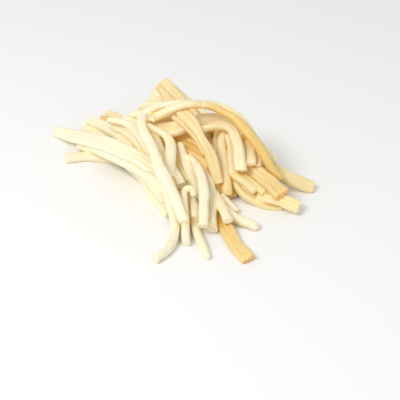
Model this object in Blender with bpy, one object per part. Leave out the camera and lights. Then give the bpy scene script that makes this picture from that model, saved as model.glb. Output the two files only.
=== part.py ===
"""A heap of string cheese, as it lies on a flat surface: soft round strings and flat ribbons of two or
three strings side by side, some unsmoked and some lightly smoked, piled loosely with their ends pointing
out.

Each string is a short route of points, seen from one raised viewpoint in front of the heap. The strings
are laid one after another, those underneath first. Along the sight line of each point a string comes to
rest on the first thing it meets: the flat surface, the core of the heap, or a string laid before it. The
strings and the core are then joined into one solid, and its underside is cut flat.
"""

import collections
import math

import bmesh
import bpy
import numpy as np

MM = 0.001

# The viewpoint of the routes, in millimetres and degrees. The picture is a square of 400 points.
FOCAL_LENGTH = 1000.0
PICTURE_MIDDLE = (200.0, 200.0)
VIEW_ELEVATION = 34.8
VIEW_ROLL = 1.5
VIEW_DISTANCE = 700.0
VIEW_TARGET = (15.8, -17.0, 0.0)
PICTURE_SCALE = 1.42

# The core, a low mound with a flat base that the strings rest on, in millimetres
CORE_MIDDLE = (16.6, 21.4)
CORE_HALF_SIZE = (42.0, 38.0)
CORE_HEIGHT = 20.0
CORE_SHOULDER = 2.4
CORE_SIDES = 18
CORE_RINGS = 4
CORE_DEPTH = 3.0

# How the strings rest, press into each other and bend, in millimetres
PRESS = 0.73
SINK = 0.6
STIFF_LENGTH = 14.0
POINT_SPACING = 2.3
SEARCH_LENGTH = 140.0
SEARCH_STEP = 1.0
PUSH_ROUNDS = 40
PUSH_START = 60.0
PUSH_MOST = 1e4
CLOSE_ENOUGH = 1e-3
RELEASE_GAP = 0.05
RELEASE = 0.3

# Strings behind the heap, in rings round its rear half: how many, where each starts as a share of the
# core's half size, and how far it swings sideways in degrees
REAR_RINGS = ((11, 0.55, 0.0), (8, 0.85, 38.0))
REAR_ANGLES = (-5.0, 160.0)
REAR_SIZE = (6.5, 6.0)
REAR_MIDDLE = 0.95
REAR_END = 1.22
REAR_SPREAD = (0.92, 1.1)
REAR_SWAY = 20.0
REAR_SEED = 5
REAR_EYE_HEIGHT = 150.0

# The facets
ROUND_SIDES = 6
ROUND_RADIUS = 1.1
RIBBON_SCALE = 1.05
GROOVE = 0.74
RING_SPACING = 12.5
RING_BEND = 34.0
LEAST_RINGS = 3
CUTTER_SIZE = (400.0, 400.0, 20.0)

FRESH = 0
SMOKED = 1
COLOURS = {
    "fresh_cheese": (0.93, 0.88, 0.62, 1.0),
    "smoked_cheese": (0.90, 0.76, 0.46, 1.0),
}
ROUGHNESS = 0.42

String = collections.namedtuple("String", "name kind lobes wide thick route taper lift tuck sink")


def string(name, kind, lobes, wide, thick, *route, taper=(1,), lift=(0,), tuck=(0, 0), sink=0):
    """A string or ribbon: its width and thickness in millimetres, then the picture points that it passes.
    taper scales its width along its length, and lift is the least height of its middle line there. tuck
    is the share of its length, at its start and its end, that is pushed in between the strings laid
    before it, and sink is how much deeper than the others it is pressed down."""
    return String(name, kind, lobes, wide, thick, route, taper, lift, tuck, sink)


REAR_ENDS = [
    string("slim smoked end", SMOKED, 1, 6.0, 4.8, (107.5, 113), (118, 116.8), (130, 123), (139, 130),
           lift=(9, 12, 15, 17), tuck=(0, 0.4)),
    string("low smoked end", SMOKED, 1, 4.4, 4.2, (102, 118), (111, 122), (123, 129), (136, 137),
           lift=(5, 10, 13)),
    string("behind the arch", SMOKED, 1, 6.8, 6.2, (136, 130.5), (150, 125.5), (164, 120.5),
           (180, 114.5), lift=(16, 20, 23, 24)),
    string("pale end", FRESH, 1, 5.0, 4.5, (173.5, 87.5), (184, 97), (197, 108), (208, 118),
           lift=(31, 24), tuck=(0, 0.5)),
    string("round end", FRESH, 1, 6.8, 5.6, (153.3, 90), (162, 98), (171, 107), lift=(32.5, 26.5)),
    string("low end", FRESH, 1, 7.4, 5.4, (149.2, 98), (158, 101), (170, 107), lift=(29, 20)),
    string("slim end", SMOKED, 1, 6.2, 5.2, (159.6, 85.2), (164.4, 92.6), (169.2, 100.1), (174, 108.6),
           taper=(0.85, 1, 1.2, 1.3), lift=(36, 24)),
    string("broad end", SMOKED, 2, 8.4, 5.6, (163.8, 81.4), (171.8, 90.7), (180.8, 101.2), (190, 112.5),
           (197, 121), taper=(0.9, 1.02, 1.15, 1.15), lift=(38, 25.5), tuck=(0, 0.5)),
    string("double end", FRESH, 2, 8.4, 4.8, (141.5, 106.3), (152, 105.8), (164, 107), (178, 112),
           (188, 119), lift=(24, 27, 27, 26), tuck=(0, 0.35), sink=2),
]

SHADED_MIDDLE = [
    string("shaded, upper", FRESH, 1, 6.4, 5.4, (167, 131), (180, 137.5), (192, 144), (208, 153)),
    string("shaded, middle", FRESH, 1, 6.4, 5.2, (176, 141.5), (191, 149), (210, 159)),
    string("shaded, lower", FRESH, 1, 6.4, 5.2, (178, 149), (194, 157), (210, 167)),
    string("shaded, left", FRESH, 1, 6.4, 6.0, (122, 118.5), (131, 120.5), (139, 127), (145, 136.5),
           (150, 148)),
]

RIGHT_SIDE = [
    string("low curve", FRESH, 3, 13.0, 5.4, (238, 175.5), (244.5, 187.5), (252.6, 195.2),
           (264.5, 201.2), (283, 204)),
    string("low triple end", FRESH, 3, 10.2, 4.4, (258, 194.5), (270, 197.7), (283, 201), (297, 208.3),
           tuck=(0.4, 0)),
    string("farthest pair", FRESH, 2, 10.4, 6.0, (256, 158), (272, 168.5), (290, 179), (313.5, 187.8),
           tuck=(0.3, 0)),
    string("pale strip", FRESH, 1, 4.6, 4.4, (260, 160), (270, 168), (282, 180.5)),
    string("short stub", FRESH, 1, 5.2, 4.6, (240, 173), (247, 179), (255.5, 186), (264, 192.8),
           lift=(13, 10, 5, 2), tuck=(0.5, 0)),
    string("short string", FRESH, 1, 6.6, 5.2, (232, 173), (243, 181.5), (255.5, 190.8)),
    string("wide ribbon", SMOKED, 3, 12.4, 5.0, (246, 165.5), (258, 174), (270, 183.5), (282.5, 194.8)),
    string("hanging, slim", FRESH, 1, 5.2, 4.8, (253.5, 138), (257.5, 152), (258.8, 167)),
    string("hanging, flat", FRESH, 1, 8.0, 5.2, (245, 132), (249, 148), (250.3, 165)),
]

UPPER_LOOPS = [
    string("loop of three", SMOKED, 3, 11.8, 5.4, (147, 127), (159, 129.6), (171.5, 129.4), (182, 127),
           (190, 124.2), (198, 122.2), (206, 121), (215, 120), (225, 121), (236, 126), (246, 134.5),
           taper=(0.6, 0.85, 1.08, 1.08, 0.95, 0.92, 1, 1, 0.95, 0.9, 0.85),
           lift=(24, 29, 32, 32.5, 32, 32, 33, 33, 32, 29, 26)),
    string("inner drop", FRESH, 1, 6.6, 4.8, (220, 129), (217.5, 137), (216.5, 147), (217, 160),
           taper=(1, 0.95, 0.8, 0.7), lift=(27, 26, 22, 17)),
    string("dark underside", SMOKED, 1, 5.6, 4.8, (212.5, 173), (217.5, 187), (221, 198)),
    string("elbow drop", SMOKED, 1, 7.1, 6.3, (226, 129.5), (222.8, 137.5), (221.4, 145), (222.2, 153),
           (224, 165), (226, 180), (226.3, 196.5), taper=(0.75, 0.9, 0.97, 0.95, 0.96, 1.02, 1.12)),
    string("curl, thin edge", FRESH, 1, 6.0, 5.0, (228.5, 134), (231.6, 148), (233.3, 161),
           (233.2, 174.8), sink=1),
    string("curl", FRESH, 2, 9.2, 5.8, (200, 129.3), (209, 128), (217.5, 126.3), (225, 126.2),
           (231.5, 129.8), (235.7, 137), (238.8, 148), (240.2, 159), (240.7, 170.5),
           taper=(0.5, 0.58, 0.66, 0.76, 0.88, 0.95, 1, 1, 1.03), sink=1),
]

LEFT_FAN = [
    string("lone string", FRESH, 1, 7.8, 6.4, (65, 158.6), (80, 157.2), (95, 156.8), (109, 158.5),
           (124, 162.5)),
    string("outer flank", FRESH, 2, 11.0, 6.4, (112, 156), (126, 163.6), (138, 173), (148, 183.3),
           (155.8, 194.3), (163.8, 204.5), (173, 216)),
    string("inner flank", FRESH, 1, 7.4, 6.4, (122, 157), (136, 165.5), (150, 176.5), (162, 189.5),
           (170, 201), tuck=(0, 0.4)),
    string("over flank", FRESH, 1, 7.0, 5.8, (116, 157), (131, 165), (143.5, 174.8), (153.5, 186),
           (162, 198), (169, 209), tuck=(0, 0.3)),
    string("under ribbon", FRESH, 1, 7.4, 6.0, (79.5, 145.8), (92, 148.4), (105, 153), (120, 160),
           (135, 168), (150, 177), (168, 190), lift=(4, 8, 10.5), tuck=(0, 0.4)),
    string("small pair", FRESH, 2, 8.2, 4.8, (84, 127.3), (94, 130.3), (104, 134.5), (113, 139),
           lift=(2.4, 5, 8)),
    string("upper pair", FRESH, 2, 8.8, 5.6, (89.5, 120.7), (101, 124.8), (113, 131.5), (126, 141),
           (151, 161), (162, 170), tuck=(0, 0.4)),
    string("crossing", FRESH, 1, 8.6, 6.0, (113, 125), (124, 130), (132.5, 136.5), (146, 152),
           (158, 166), tuck=(0, 0.4)),
    string("top of fan", FRESH, 1, 6.2, 5.6, (107, 120.3), (119, 121.5), (130.5, 126.5), (139, 136),
           (150, 157), (156, 168), taper=(0.7, 1, 1.15, 1.1, 1), tuck=(0, 0.4)),
    string("long ribbon", FRESH, 2, 12.8, 6.2, (56, 131.3), (70, 135.3), (84, 138.8), (100, 142.5),
           (118, 149), (138, 158.8), (164, 177), taper=(0.74, 0.86, 0.95, 1, 1, 1, 1), tuck=(0, 0.22)),
]

MIDDLE = [
    string("beside diagonal", FRESH, 1, 6.4, 5.4, (147.5, 127), (155, 138), (160.5, 148.5), (165.5, 160),
           taper=(0.7, 1, 1, 0.9), lift=(27, 27, 25, 22)),
    string("dark short end", FRESH, 1, 5.4, 5.0, (175, 156), (181.5, 169), (187.5, 182.5)),
    string("cut end", FRESH, 1, 7.4, 5.6, (167, 162), (173.8, 172.5), (181, 185.5), lift=(20, 19, 17)),
    string("bent over", FRESH, 1, 8.2, 6.4, (147, 125.5), (157, 130.5), (167, 137), (170.8, 147),
           (170.4, 161), (168.5, 178), taper=(0.5, 0.6, 0.85, 1, 1, 1), tuck=(0, 0.25)),
    string("thin edge", SMOKED, 1, 4.8, 4.4, (172.3, 115.7), (181, 121.5), (190, 130), (198.5, 141.5),
           (206, 155)),
    string("smoked ribbon", SMOKED, 2, 8.6, 5.8, (180, 109), (188, 118), (196, 128), (202, 139),
           (208.3, 150), (212, 160), (214.8, 170), (218, 183.5),
           taper=(1.1, 1.15, 1.05, 0.72, 0.8, 1, 1, 0.9)),
]

FRONT_ENDS = [
    string("triple ribbon", SMOKED, 3, 10.2, 5.2, (217.5, 205), (226, 228), (236, 245), (248.8, 260)),
    string("long end", FRESH, 1, 6.4, 5.8, (224, 208), (233, 216.5), (245, 222), (258.5, 228)),
    string("short end", FRESH, 1, 5.6, 5.2, (219, 194), (228, 204), (236.8, 211.8)),
    string("blunt end", FRESH, 1, 6.8, 5.8, (214, 189), (220, 204), (228, 220.5)),
    string("under pair", FRESH, 1, 7.8, 5.8, (207, 206), (210.5, 220), (212, 230.5)),
    string("pair, right", FRESH, 1, 6.6, 6.0, (190, 156), (198.5, 165), (205.8, 174.5), (210.2, 184),
           (212, 196), (211.8, 225.5), taper=(0.6, 0.9, 1, 1, 0.95), tuck=(0.12, 0)),
    string("tapered tip", FRESH, 1, 5.8, 5.2, (186, 188), (189, 202), (193, 217), (197.5, 234),
           (203, 247), (208.2, 258.3), taper=(1, 1.1, 1.1, 1.1, 1, 1.05, 0.6), lift=(5, 3.5, 2),
           tuck=(0.45, 0), sink=3.5),
    string("small elbow", FRESH, 1, 5.5, 5.0, (195.8, 194.4), (192.2, 189), (187, 189.2), (184, 196),
           (184.3, 208), (186.2, 244), taper=(0.75, 0.88, 0.96, 1.05, 1.05, 1.05),
           lift=(13, 15.5, 15.5, 12.5, 6.5, 2, 2, 2), tuck=(0.2, 0)),
    string("left of pair", FRESH, 1, 7.0, 6.2, (178.4, 143), (182.3, 155.5), (187.8, 168.5),
           (192.2, 179.5), (195.4, 190), (197.8, 201), taper=(0.55, 0.9, 1.05, 0.95, 0.9, 0.65)),
    string("rounded end", FRESH, 1, 5.4, 5.0, (190.8, 193), (193.8, 204), (195.2, 218.3),
           taper=(0.8, 1, 0.95), lift=(11, 8, 5.5), tuck=(1, 0)),
    string("pair, left", FRESH, 1, 6.9, 6.4, (183.5, 152.5), (188.5, 159.5), (194.5, 168), (199.5, 178),
           (203, 190), (204, 203), (203.5, 226.3), taper=(0.6, 0.8, 0.97, 1.03, 1, 0.97, 0.92),
           tuck=(0.35, 0)),
]

LAST_ON_TOP = [
    string("arch, outer rim", FRESH, 1, 5.6, 5.2, (131.5, 114.8), (145, 113), (156, 108.3), (168, 105),
           (182, 104), (200, 104), (212, 104.5), (223, 107.3), (234, 113), (245, 123.5), (257, 141.5),
           (265, 150.5), (274.5, 160.3), taper=(1, 1.1, 1, 0.9, 0.85, 0.9, 1, 1),
           lift=(29, 34, 37, 38, 38, 37, 31, 18, 8)),
    string("stub under arch", FRESH, 2, 5.6, 3.6, (151.2, 120), (152.6, 116), (155.5, 111),
           lift=(35, 34, 31), tuck=(0, 0.5)),
    string("arch, inner", SMOKED, 1, 6.2, 5.6, (155.8, 117), (163, 113.1), (171.5, 109), (181, 106.3),
           (191, 104.6), (201, 104.8), (212, 107), (224, 112), (236, 119.7), (248, 132), (255, 141.5),
           (262, 152), (270, 165), (281, 179),
           taper=(0.95, 0.98, 0.85, 0.8, 0.85, 0.95, 1.1, 1.15, 1.1, 0.9, 0.5),
           lift=(28, 31, 34, 36, 35, 30, 23, 15, 8, 4)),
    string("front curl", FRESH, 1, 7.3, 6.6, (157, 165), (164, 182), (171.5, 205), (175, 226),
           (173.2, 240), (165.5, 251.5), (154.8, 259.3), taper=(1, 1, 1.02, 1, 1, 0.98, 0.9)),
    string("long diagonal", FRESH, 1, 7.4, 6.6, (142.5, 113.8), (142, 126), (148.4, 140), (158.3, 162.5),
           (173, 193.5), (184.8, 222.5), taper=(0.92, 0.95, 0.95, 1.03, 1.05, 0.92)),
]

LAYING_ORDER = (REAR_ENDS + SHADED_MIDDLE + RIGHT_SIDE + UPPER_LOOPS + LEFT_FAN + MIDDLE + FRONT_ENDS
                + LAST_ON_TOP)


def unit(vectors):
    return vectors / np.linalg.norm(vectors, axis=-1, keepdims=True)


class Viewpoint:
    """Where the routes are seen from, and the sight line through each picture point."""

    def __init__(self):
        elevation = math.radians(VIEW_ELEVATION)
        roll = math.radians(VIEW_ROLL)
        self.back = np.array([0.0, -math.cos(elevation), math.sin(elevation)])
        self.eye = np.array(VIEW_TARGET) + self.back * VIEW_DISTANCE
        level = np.array([1.0, 0.0, 0.0])
        upright = np.cross(level, -self.back)
        self.right = level * math.cos(roll) + upright * math.sin(roll)
        self.up = upright * math.cos(roll) - level * math.sin(roll)

    def directions(self, points):
        across = (points[:, :1] - PICTURE_MIDDLE[0]) / FOCAL_LENGTH
        down = (points[:, 1:2] - PICTURE_MIDDLE[1]) / FOCAL_LENGTH
        return unit(self.right * across - self.up * down - self.back)


class Heap:
    """The strings laid so far, as balls along their lobes."""

    def __init__(self):
        self.middles = np.zeros((0, 3))
        self.radii = np.zeros(0)

    def add(self, path, sides, wide, thick, lobes):
        for offset in lobe_offsets(wide, thick, lobes):
            self.middles = np.vstack([self.middles, path + sides * offset])
            self.radii = np.append(self.radii, np.full(len(path), thick / 2))

    def first_rest(self, origins, directions, radius, tucked):
        """How far along each sight line a string of this radius first touches the surface, the core or,
        where it isn't tucked in, a string."""
        reach = (radius - SINK - origins[:, 2]) / directions[:, 2]
        back = np.arange(SEARCH_LENGTH, -SEARCH_STEP, -SEARCH_STEP)
        tried = reach[:, None] - back
        spots = origins[:, None] + directions[:, None] * tried[..., None]
        height, ring = core_height(spots[..., 0], spots[..., 1])
        inside = (spots[..., 2] < height + PRESS * radius) & (ring < 1)
        touching = inside.any(axis=1)
        first = tried[np.arange(len(tried)), inside.argmax(axis=1)]
        reach = np.where(touching, np.minimum(reach, first), reach)
        if len(self.radii):
            apart = self.middles[None] - origins[:, None]
            nearest = (apart * directions[:, None]).sum(axis=-1)
            miss = (apart ** 2).sum(axis=-1) - nearest ** 2
            overlap = (PRESS * (radius + self.radii)) ** 2 - miss
            contact = np.where(overlap > 0, nearest - np.sqrt(np.maximum(overlap, 0)), np.inf)
            reach = np.where(tucked, reach, np.minimum(reach, contact.min(axis=1)))
        return reach


def core_height(x, y):
    """Height of the core over a point, and how far out the point lies: 0 in its middle, 1 at its rim."""
    ring = np.hypot((x - CORE_MIDDLE[0]) / CORE_HALF_SIZE[0], (y - CORE_MIDDLE[1]) / CORE_HALF_SIZE[1])
    return CORE_HEIGHT * np.sqrt(np.clip(1 - ring ** CORE_SHOULDER, 0, 1)), ring


def lobe_offsets(wide, thick, lobes):
    half = (wide - thick) / 2
    return np.linspace(-half, half, lobes) if lobes > 1 else np.zeros(1)


def smooth_curve(points, count):
    """count points evenly along a natural cubic spline through the given points."""
    points = np.asarray(points, float)
    at = np.concatenate([[0], np.cumsum(np.linalg.norm(np.diff(points, axis=0), axis=1))])
    gaps = np.diff(at)
    system = np.eye(len(at))
    bends = np.zeros_like(points)
    for i in range(1, len(at) - 1):
        system[i, i - 1:i + 2] = gaps[i - 1], 2 * (gaps[i - 1] + gaps[i]), gaps[i]
        bends[i] = 6 * (points[i + 1] - points[i]) / gaps[i] - 6 * (points[i] - points[i - 1]) / gaps[i - 1]
    bends = np.linalg.solve(system, bends)
    where = np.linspace(0, at[-1], count)
    span = np.clip(np.searchsorted(at, where, side="right") - 1, 0, len(at) - 2)
    gap = gaps[span][:, None]
    past = (where - at[span])[:, None]
    left = gap - past
    curve = (bends[span] * left ** 3 + bends[span + 1] * past ** 3) / (6 * gap)
    curve += (points[span] / gap - bends[span] * gap / 6) * left
    curve += (points[span + 1] / gap - bends[span + 1] * gap / 6) * past
    return curve


def along(values, count):
    """Values spread evenly along a string, read at count points."""
    return np.interp(np.linspace(0, 1, count), np.linspace(0, 1, len(values)), values)


def settle(lowest, step):
    """Heights that stay on or above the lowest ones and bend no more sharply than a stiff string does."""
    count = len(lowest)
    second = np.zeros((count - 2, count))
    for i in range(count - 2):
        second[i, i:i + 3] = 1, -2, 1
    stiffness = (STIFF_LENGTH / step) ** 4 * second.T @ second
    heights = lowest.copy()
    push = np.zeros(count)
    for _ in range(PUSH_ROUNDS):
        sunk = heights < lowest - CLOSE_ENOUGH
        eased = np.where(heights > lowest + RELEASE_GAP, RELEASE, 1) * push
        push = np.where(sunk, np.minimum(2 * push + PUSH_START, PUSH_MOST), eased)
        heights = np.linalg.solve(stiffness + np.diag(1 + push), lowest * (1 + push))
    return heights


def directions_of(path):
    return unit(np.gradient(path, axis=0))


def lay_string(heap, view, one):
    """Lays one string along its sight lines. Returns its middle line and the direction across it."""
    length = np.linalg.norm(np.diff(one.route, axis=0), axis=1).sum() / PICTURE_SCALE
    count = max(LEAST_RINGS + 3, math.ceil(length / POINT_SPACING) + 1)
    line = smooth_curve(one.route, count)
    ahead = directions_of(line)
    aside = np.column_stack([ahead[:, 1], -ahead[:, 0]])
    origins = np.tile(view.eye, (count, 1))
    lowest = np.zeros(count)
    share = np.linspace(0, 1, count)
    tucked = (share < one.tuck[0]) | (share > 1 - one.tuck[1])
    for offset in lobe_offsets(one.wide, one.thick, one.lobes):
        sight = view.directions(line + aside * offset * PICTURE_SCALE)
        reach = heap.first_rest(origins, sight, one.thick / 2, tucked)
        lowest = np.maximum(lowest, (origins + sight * reach[:, None])[:, 2])
    lowest = np.maximum(lowest - one.sink, along(one.lift, count))
    heights = settle(lowest, length / (count - 1))
    sight = view.directions(line)
    path = origins + sight * ((heights - view.eye[2]) / sight[:, 2])[:, None]
    face = unit(view.back + np.array([0.0, 0.0, 1.0]))
    sides = unit(np.cross(directions_of(path), face))
    heap.add(path, sides, one.wide, one.thick, one.lobes)
    return path, sides


def rear_routes():
    """Plan routes of the strings behind the heap, each from the core's shoulder out to the surface."""
    draw = np.random.default_rng(REAR_SEED)
    for count, start, swing in REAR_RINGS:
        for angle in np.linspace(*REAR_ANGLES, count):
            angle += draw.uniform(-REAR_SWAY, REAR_SWAY) / 4
            far = draw.uniform(*REAR_SPREAD)
            end_angle = angle + draw.uniform(-REAR_SWAY, REAR_SWAY)
            turns = np.radians([angle - swing, angle, end_angle])
            rings = np.array([start, REAR_MIDDLE * far, REAR_END * far])
            across = CORE_MIDDLE[0] + rings * CORE_HALF_SIZE[0] * np.cos(turns)
            deep = CORE_MIDDLE[1] + rings * CORE_HALF_SIZE[1] * np.sin(turns)
            yield np.column_stack([across, deep])


def lay_rear_string(heap, route):
    """Lays one rear string straight down on what lies there."""
    wide, thick = REAR_SIZE
    length = np.linalg.norm(np.diff(route, axis=0), axis=1).sum()
    count = math.ceil(length / POINT_SPACING) + 1
    line = smooth_curve(route, count)
    origins = np.column_stack([line, np.full(count, REAR_EYE_HEIGHT)])
    downward = np.tile([0.0, 0.0, -1.0], (count, 1))
    reach = heap.first_rest(origins, downward, thick / 2, np.zeros(count, bool))
    heights = settle(REAR_EYE_HEIGHT - reach, length / (count - 1))
    path = np.column_stack([line, heights])
    sides = unit(np.cross(directions_of(path), [0.0, 0.0, 1.0]))
    heap.add(path, sides, wide, thick, 1)
    return path, sides


def cross_section(wide, thick, lobes):
    """The outline across a string: a hexagon, or a flat ribbon with a groove between its lobes."""
    if lobes == 1:
        turns = np.arange(ROUND_SIDES) * 2 * math.pi / ROUND_SIDES
        return np.column_stack([np.cos(turns) * wide / 2, np.sin(turns) * thick / 2]) * ROUND_RADIUS
    wide *= RIBBON_SCALE
    thick *= RIBBON_SCALE
    half = (wide - thick) / 2
    across = np.linspace(half, -half, 2 * lobes - 1)
    raised = np.where(np.arange(len(across)) % 2 == 0, 1, GROOVE) * thick / 2
    top = np.column_stack([across, raised])
    ends = np.array([[wide / 2, 0.0]])
    return np.vstack([ends, top, -ends, -top])


def ring_places(path):
    """Where the rings of facets go along a string, closer together in its bends."""
    steps = np.linalg.norm(np.diff(path, axis=0), axis=1)
    ahead = unit(np.diff(path, axis=0))
    turns = np.degrees(np.arccos(np.clip((ahead[1:] * ahead[:-1]).sum(axis=1), -1, 1)))
    turns = np.concatenate([[0], turns])
    share = np.concatenate([[0], np.cumsum(steps / RING_SPACING + turns / RING_BEND)])
    count = max(LEAST_RINGS, round(share[-1]) + 1)
    return np.interp(np.linspace(0, share[-1], count), share, np.arange(len(path)))


def read_at(rows, places):
    return np.column_stack([np.interp(places, np.arange(len(rows)), column) for column in rows.T])


def tube_mesh(path, sides, one):
    """A closed tube with flat ends along a laid string."""
    places = ring_places(path)
    widths = np.interp(places, np.arange(len(path)), along(one.taper, len(path)))
    ahead = unit(read_at(directions_of(path), places))
    across = unit(read_at(sides, places))
    upward = np.cross(across, ahead)
    middles = read_at(path, places)
    outline = cross_section(one.wide, one.thick, one.lobes)
    shape = bmesh.new()
    rings = []
    for middle, side, above, scale in zip(middles, across, upward, widths):
        corners = middle + outline[:, :1] * side * scale + outline[:, 1:] * above * math.sqrt(scale)
        rings.append([shape.verts.new(corner * MM) for corner in corners])
    for low, high in zip(rings, rings[1:]):
        for i in range(len(low)):
            j = (i + 1) % len(low)
            shape.faces.new((low[i], low[j], high[j], high[i]))
    shape.faces.new(rings[0])
    shape.faces.new(rings[-1])
    return closed_object(one.name, shape, one.kind)


def core_mesh():
    """The core as rings of facets from its rim up to its top, with its sides run down past the surface."""
    shape = bmesh.new()
    turns = np.arange(CORE_SIDES) * 2 * math.pi / CORE_SIDES
    spread = 1 - np.arange(CORE_RINGS) / CORE_RINGS
    levels = [(1.0, -CORE_DEPTH)]
    for ring in spread:
        levels.append((ring, CORE_HEIGHT * math.sqrt(1 - ring ** CORE_SHOULDER)))
    rings = []
    for ring, height in levels:
        corners = []
        for turn in turns:
            across = CORE_MIDDLE[0] + ring * CORE_HALF_SIZE[0] * math.cos(turn)
            deep = CORE_MIDDLE[1] + ring * CORE_HALF_SIZE[1] * math.sin(turn)
            corners.append(shape.verts.new((across * MM, deep * MM, height * MM)))
        rings.append(corners)
    for low, high in zip(rings, rings[1:]):
        for i in range(CORE_SIDES):
            j = (i + 1) % CORE_SIDES
            shape.faces.new((low[i], low[j], high[j], high[i]))
    shape.faces.new(rings[0])
    top = shape.verts.new((CORE_MIDDLE[0] * MM, CORE_MIDDLE[1] * MM, CORE_HEIGHT * MM))
    for i in range(CORE_SIDES):
        shape.faces.new((rings[-1][i], rings[-1][(i + 1) % CORE_SIDES], top))
    return closed_object("core", shape, FRESH)


def closed_object(name, shape, kind):
    for face in shape.faces:
        face.material_index = kind
    bmesh.ops.recalc_face_normals(shape, faces=shape.faces)
    bmesh.ops.triangulate(shape, faces=shape.faces)
    mesh = bpy.data.meshes.new(name)
    shape.to_mesh(mesh)
    shape.free()
    for material in bpy.data.materials:
        mesh.materials.append(material)
    return bpy.data.objects.new(name, mesh)


def cheese_materials():
    for name, colour in COLOURS.items():
        material = bpy.data.materials.new(name)
        material.use_nodes = True
        shader = material.node_tree.nodes["Principled BSDF"]
        shader.inputs["Base Color"].default_value = colour
        shader.inputs["Roughness"].default_value = ROUGHNESS
        shader.inputs["Metallic"].default_value = 0.0
        material.diffuse_color = colour


def ground_cutter():
    """A block under the heap that cuts its underside flat."""
    shape = bmesh.new()
    bmesh.ops.create_cube(shape, size=1.0)
    bmesh.ops.scale(shape, vec=np.array(CUTTER_SIZE) * MM, verts=shape.verts)
    bmesh.ops.translate(shape, vec=(0, 0, -CUTTER_SIZE[2] * MM / 2), verts=shape.verts)
    cutter = closed_object("ground_cutter", shape, FRESH)
    cutter.hide_render = True
    cutter.display_type = "WIRE"
    return cutter


def apply_boolean(target, operation, solver, one=None, group=None):
    modifier = target.modifiers.new(operation.lower(), "BOOLEAN")
    modifier.operation = operation
    modifier.solver = solver
    if group:
        modifier.operand_type = "COLLECTION"
        modifier.collection = group
    else:
        modifier.object = one
    with bpy.context.temp_override(object=target, active_object=target):
        bpy.ops.object.modifier_apply(modifier=modifier.name)


def islands_of(shape):
    """The shape's separate bodies, each a list of faces."""
    left = set(shape.faces)
    found = []
    while left:
        body = []
        todo = [left.pop()]
        while todo:
            face = todo.pop()
            body.append(face)
            for edge in face.edges:
                for other in edge.link_faces:
                    if other in left:
                        left.remove(other)
                        todo.append(other)
        found.append(body)
    return found


def keep_largest_body(target):
    """Fills sealed hollows and drops loose scraps, so that one body is left."""
    shape = bmesh.new()
    shape.from_mesh(target.data)
    bodies = sorted(islands_of(shape), key=len)
    for body in bodies[:-1]:
        bmesh.ops.delete(shape, geom=body, context="FACES")
    bmesh.ops.triangulate(shape, faces=shape.faces)
    shape.to_mesh(target.data)
    shape.free()


def build_heap():
    for old in list(bpy.data.objects):
        bpy.data.objects.remove(old, do_unlink=True)
    for old in list(bpy.data.materials):
        bpy.data.materials.remove(old)
    cheese_materials()
    view = Viewpoint()
    heap = Heap()
    group = bpy.data.collections.new("strings")
    bpy.context.scene.collection.children.link(group)
    for number, route in enumerate(rear_routes()):
        path, sides = lay_rear_string(heap, route)
        group.objects.link(tube_mesh(path, sides, string(f"rear {number}", number % 2, 1, *REAR_SIZE)))
    for one in LAYING_ORDER:
        path, sides = lay_string(heap, view, one)
        group.objects.link(tube_mesh(path, sides, one))
    whole = core_mesh()
    whole.name = "string_cheese_heap"
    bpy.context.scene.collection.objects.link(whole)
    apply_boolean(whole, "UNION", "EXACT", group=group)
    for piece in list(group.objects):
        bpy.data.objects.remove(piece, do_unlink=True)
    bpy.data.collections.remove(group)
    cutter = ground_cutter()
    bpy.context.scene.collection.objects.link(cutter)
    apply_boolean(whole, "DIFFERENCE", "EXACT", one=cutter)
    bpy.data.objects.remove(cutter, do_unlink=True)
    keep_largest_body(whole)


build_heap()
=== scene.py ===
import collections
import math

import bpy
import numpy as np
from mathutils import Matrix, Vector


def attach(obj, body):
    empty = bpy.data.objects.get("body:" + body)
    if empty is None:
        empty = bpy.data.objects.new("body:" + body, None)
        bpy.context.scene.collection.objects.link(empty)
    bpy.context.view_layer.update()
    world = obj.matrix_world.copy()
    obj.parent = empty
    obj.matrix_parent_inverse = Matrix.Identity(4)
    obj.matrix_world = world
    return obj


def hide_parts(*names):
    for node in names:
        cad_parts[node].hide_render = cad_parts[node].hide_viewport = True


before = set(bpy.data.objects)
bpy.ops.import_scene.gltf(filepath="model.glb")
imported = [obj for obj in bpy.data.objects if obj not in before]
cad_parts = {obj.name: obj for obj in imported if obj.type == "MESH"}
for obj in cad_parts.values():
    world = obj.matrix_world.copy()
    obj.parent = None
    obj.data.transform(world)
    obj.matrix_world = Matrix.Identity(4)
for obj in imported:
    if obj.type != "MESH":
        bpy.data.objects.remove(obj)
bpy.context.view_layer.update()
scene = bpy.context.scene
mm = 0.001

# The heap is laid in millimetres, as the solid under it is: each string follows a few points seen from one
# viewpoint and rests on what was laid before it.
viewpoint = {
    "picture": 400.0,  # width and height, in the routes' points
    "focalLength": 1000.0,
    "elevation": 34.8,
    "roll": 1.5,
    "distance": 700.0,
    "target": (15.8, -17.0, 0.0),
    "pointsPerMm": 1.42,
}

mound = {
    "middle": (16.6, 21.4),
    "halfSize": (42.0, 38.0),
    "height": 20.0,
    "shoulder": 2.4,
}

laying = {
    "press": 0.73,  # share of two radii at which strings touch
    "sink": 0.6,
    "stiffLength": 14.0,
    "pointSpacing": 2.3,
    "searchLength": 140.0,
    "searchStep": 1.0,
    "pushRounds": 40,
    "pushStart": 60.0,
    "pushMost": 1e4,
    "closeEnough": 1e-3,
    "releaseGap": 0.05,
    "release": 0.3,
    "fewestPoints": 6,
}

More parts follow.
